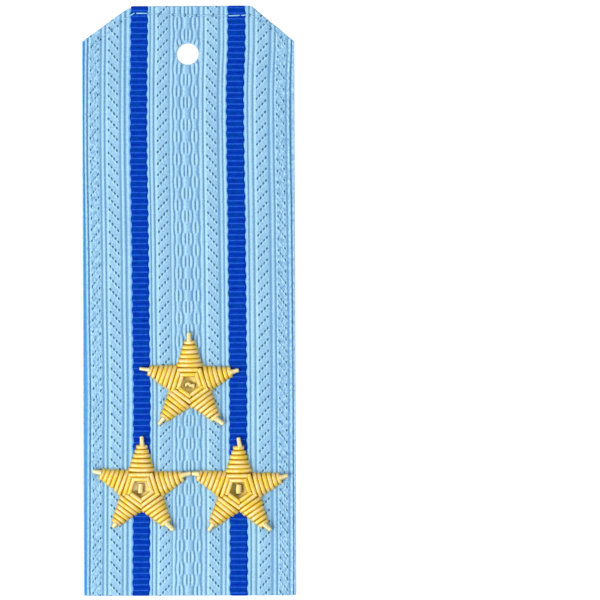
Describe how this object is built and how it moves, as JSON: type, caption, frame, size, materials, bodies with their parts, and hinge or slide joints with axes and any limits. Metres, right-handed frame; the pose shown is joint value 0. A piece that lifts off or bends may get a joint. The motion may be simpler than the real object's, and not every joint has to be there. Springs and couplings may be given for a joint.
{
  "type": "shoulder board",
  "caption": "Flat stiff shoulder board of ribbed light blue ribbon with two dark blue stripes, a button hole at the cut end and gold wire-embroidered stars.",
  "frame": {"origin": "the middle of the back, where the board rests", "axes": "+Z out of the woven face, +Y towards the end with the button hole, +X to the right seen from above"},
  "size_m": [0.05, 0.139, 0.005],
  "materials": {
    "galloon": "ribbed satin weave",
    "stripe": "cross-ribbed weave",
    "gold_purl": "gilt coiled wire",
    "pale_purl": "gilt coiled wire, paler",
    "sequin": "dull gilt",
    "chip": "gilt coiled wire"
  },
  "bodies": {
    "root": {"galloon": "galloon", "stripe_left": "stripe", "stripe_right": "stripe", "star_top_arm_1": "gold_purl", "star_top_arm_2": "gold_purl", "star_top_arm_3": "gold_purl", "star_top_arm_4": "gold_purl", "star_top_arm_5": "gold_purl", "star_top_ring_outer": "gold_purl", "star_top_ring_inner": "gold_purl", "star_left_arm_1": "gold_purl", "star_left_arm_2": "gold_purl", "star_left_arm_3": "gold_purl", "star_left_arm_4": "gold_purl", "star_left_arm_5": "gold_purl", "star_left_ring_outer": "gold_purl", "star_left_ring_inner": "gold_purl", "star_right_arm_1": "gold_purl", "star_right_arm_2": "gold_purl", "star_right_arm_3": "gold_purl", "star_right_arm_4": "gold_purl", "star_right_arm_5": "gold_purl", "star_right_ring_outer": "gold_purl", "star_right_ring_inner": "gold_purl", "star_top_tip_1": "pale_purl", "star_top_tip_2": "pale_purl", "star_top_tip_3": "pale_purl", "star_top_tip_4": "pale_purl", "star_top_tip_5": "pale_purl", "star_left_tip_1": "pale_purl", "star_left_tip_2": "pale_purl", "star_left_tip_3": "pale_purl", "star_left_tip_4": "pale_purl", "star_left_tip_5": "pale_purl", "star_right_tip_1": "pale_purl", "star_right_tip_2": "pale_purl", "star_right_tip_3": "pale_purl", "star_right_tip_4": "pale_purl", "star_right_tip_5": "pale_purl", "star_top_sequin": "sequin", "star_left_sequin": "sequin", "star_right_sequin": "sequin", "star_top_chip": "chip", "star_left_chip": "chip", "star_right_chip": "chip"}
  },
  "joints": []
}
